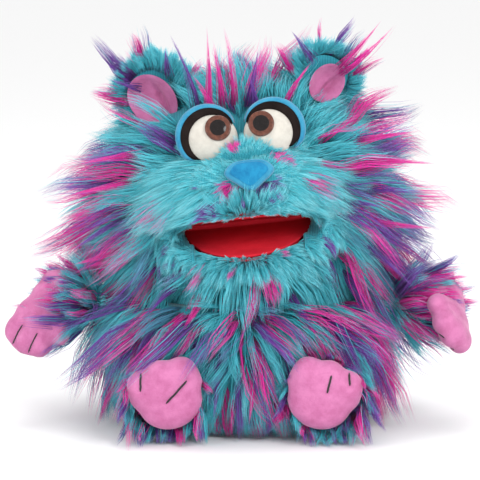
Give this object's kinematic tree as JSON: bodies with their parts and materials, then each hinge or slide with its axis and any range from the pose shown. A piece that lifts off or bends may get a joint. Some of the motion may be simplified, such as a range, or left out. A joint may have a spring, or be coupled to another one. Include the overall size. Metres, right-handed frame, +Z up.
{
  "type": "moving mouth puppet",
  "caption": "Seated fur monster hand puppet; its mouth opens on a hinge, its head turns and nods, and its ears, arms and feet flex",
  "frame": {"origin": "centre of the hand opening in the flat base, at the floor", "axes": "+Z up, face towards -Y, +X to the puppet's own left"},
  "size_m": [0.3521, 0.2337, 0.2885],
  "materials": {
    "turquoise_fur": "long curly fake fur",
    "short_fur": "short fake fur",
    "lining_cloth": "knitted backing cloth",
    "stuffing": "polyester fibre",
    "red_felt": "felt",
    "black_felt": "felt",
    "blue_plush": "short plush",
    "white_plush": "smooth plush",
    "pink_velour": "velour",
    "black_thread": "embroidery thread",
    "mouth_board": "stiff board",
    "brown_plastic": "glossy, translucent",
    "black_plastic": "glossy",
    "washer_plastic": "moulded"
  },
  "bodies": {
    "torso": {"belly_panel": "turquoise_fur", "back_panel": "turquoise_fur", "side_panel_left": "turquoise_fur", "side_panel_right": "turquoise_fur", "base_panel": "lining_cloth", "body_stuffing": "stuffing", "sleeve_cuff": "lining_cloth", "hand_sleeve": "lining_cloth", "neck_fold_lower": "lining_cloth", "shoulder_fold_left": "lining_cloth", "shoulder_fold_right": "lining_cloth"},
    "neck": {"neck_fold_upper": "lining_cloth"},
    "head": {"crown_panel": "turquoise_fur", "back_head_panel": "turquoise_fur", "cheek_panel_left": "turquoise_fur", "cheek_panel_right": "turquoise_fur", "muzzle_panel": "short_fur", "head_padding": "stuffing", "finger_pocket": "lining_cloth", "upper_mouth_lining": "red_felt", "upper_mouth_board": "mouth_board", "mouth_fold": "red_felt", "nose": "blue_plush", "eyeball_left": "white_plush", "eyeliner_left": "black_felt", "eyelid_left": "blue_plush", "iris_left": "brown_plastic", "pupil_left": "black_plastic", "eye_washer_left": "washer_plastic", "eyeball_right": "white_plush", "eyeliner_right": "black_felt", "eyelid_right": "blue_plush", "iris_right": "brown_plastic", "pupil_right": "black_plastic", "eye_washer_right": "washer_plastic"},
    "jaw": {"chin_panel": "turquoise_fur", "jaw_padding": "stuffing", "thumb_pocket": "lining_cloth", "lower_mouth_board": "mouth_board", "lower_mouth_lining": "red_felt"},
    "ear_left": {"ear_back_left": "turquoise_fur", "ear_lining_left": "pink_velour"},
    "arm_left": {"arm_sleeve_left": "turquoise_fur", "hand_left": "pink_velour", "hand_stitching_left": "black_thread"},
    "leg_left": {"leg_sleeve_left": "turquoise_fur", "foot_left": "pink_velour", "foot_stitching_left": "black_thread"},
    "ear_right": {"ear_back_right": "turquoise_fur", "ear_lining_right": "pink_velour"},
    "arm_right": {"arm_sleeve_right": "turquoise_fur", "hand_right": "pink_velour", "hand_stitching_right": "black_thread"},
    "leg_right": {"leg_sleeve_right": "turquoise_fur", "foot_right": "pink_velour", "foot_stitching_right": "black_thread"}
  },
  "joints": [
    {"name": "head_turn", "type": "hinge", "parent": "torso", "child": "neck", "pos_m": [0.002, 0.005, 0.145], "axis": [0, 0, 1], "range_deg": [-20, 20]},
    {"name": "head_nod", "type": "hinge", "parent": "neck", "child": "head", "pos_m": [0.002, 0.005, 0.145], "axis": [1, 0, 0], "range_deg": [-8, 10]},
    {"name": "jaw_open", "type": "hinge", "parent": "head", "child": "jaw", "pos_m": [0.00216, -0.03, 0.15306], "axis": [0.9945, 0, 0.1045], "range_deg": [-17, 25]},
    {"name": "ear_bend_left", "type": "hinge", "parent": "head", "child": "ear_left", "pos_m": [0.05294, 0.007, 0.24655], "axis": [0.8371, 0.2149, -0.503], "range_deg": [-15, 15], "stiffness_Nm_per_rad": 0.04},
    {"name": "arm_lift_left", "type": "hinge", "parent": "torso", "child": "arm_left", "pos_m": [0.118, -0.004, 0.087], "axis": [0, -1, 0], "range_deg": [-12, 25]},
    {"name": "leg_flex_left", "type": "hinge", "parent": "torso", "child": "leg_left", "pos_m": [0.06, -0.09, 0.034], "axis": [1, 0, 0], "range_deg": [-12, 12]},
    {"name": "ear_bend_right", "type": "hinge", "parent": "head", "child": "ear_right", "pos_m": [-0.0611, 0.007, 0.23757], "axis": [0.7482, -0.2149, 0.6278], "range_deg": [-15, 15], "stiffness_Nm_per_rad": 0.04},
    {"name": "arm_lift_right", "type": "hinge", "parent": "torso", "child": "arm_right", "pos_m": [-0.118, -0.004, 0.087], "axis": [0, 1, 0], "range_deg": [-12, 25]},
    {"name": "leg_flex_right", "type": "hinge", "parent": "torso", "child": "leg_right", "pos_m": [-0.06, -0.09, 0.034], "axis": [1, 0, 0], "range_deg": [-12, 12]}
  ]
}
